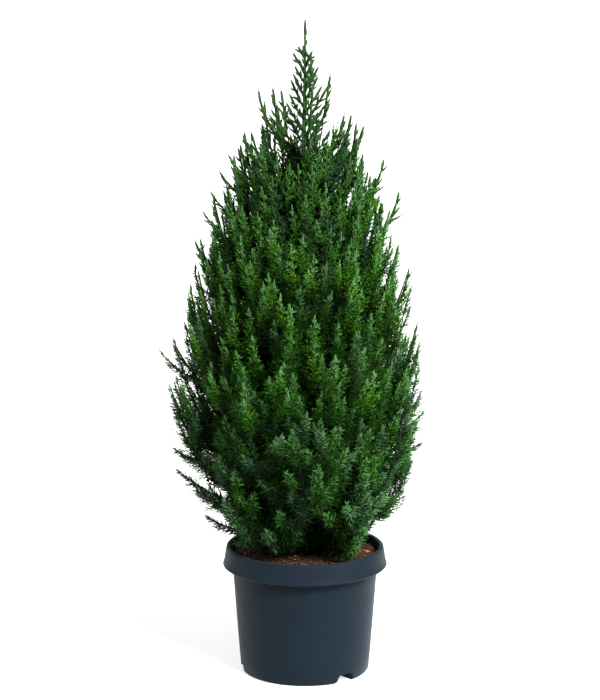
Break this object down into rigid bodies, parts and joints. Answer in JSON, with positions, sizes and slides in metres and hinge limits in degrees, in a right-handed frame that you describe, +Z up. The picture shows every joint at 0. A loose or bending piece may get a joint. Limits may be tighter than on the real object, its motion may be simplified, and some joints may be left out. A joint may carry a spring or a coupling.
{
  "type": "potted chinese juniper",
  "caption": "Young upright Chinese juniper: a slender trunk with ascending boughs that carry pointed, needle-covered foliage, standing in a round banded nursery pot.",
  "frame": {"origin": "middle of the pot's flat underside", "axes": "+Z up along the plant's height; -Y towards the plant's front; +X to the right of the front view"},
  "size_m": [0.311, 0.3076, 0.7503],
  "materials": {
    "pot_plastic": "satin",
    "potting_soil": "rough",
    "bark": "rough",
    "needles": "matte"
  },
  "bodies": {
    "root": {"pot": "pot_plastic", "soil": "potting_soil", "trunk": "bark", "bough_01": "bark", "bough_02": "bark", "bough_03": "bark", "bough_04": "bark", "bough_05": "bark", "bough_06": "bark", "bough_07": "bark", "bough_08": "bark", "bough_09": "bark", "bough_10": "bark", "bough_11": "bark", "bough_12": "bark", "bough_13": "bark", "bough_14": "bark", "bough_15": "bark", "bough_16": "bark", "bough_17": "bark", "bough_18": "bark", "bough_19": "bark", "bough_20": "bark", "bough_21": "bark", "bough_22": "bark", "bough_23": "bark", "bough_24": "bark", "bough_25": "bark", "bough_26": "bark", "bough_27": "bark", "foliage_01": "needles", "foliage_02": "needles", "foliage_03": "needles", "foliage_04": "needles", "foliage_05": "needles", "foliage_06": "needles", "foliage_07": "needles", "foliage_08": "needles", "foliage_09": "needles", "foliage_10": "needles", "foliage_11": "needles", "foliage_12": "needles", "foliage_13": "needles", "foliage_14": "needles", "foliage_15": "needles", "foliage_16": "needles", "foliage_17": "needles", "foliage_18": "needles", "foliage_19": "needles", "foliage_20": "needles", "foliage_21": "needles", "foliage_22": "needles", "foliage_23": "needles", "foliage_24": "needles", "foliage_25": "needles", "foliage_26": "needles", "foliage_27": "needles", "foliage_leader": "needles"}
  },
  "joints": []
}
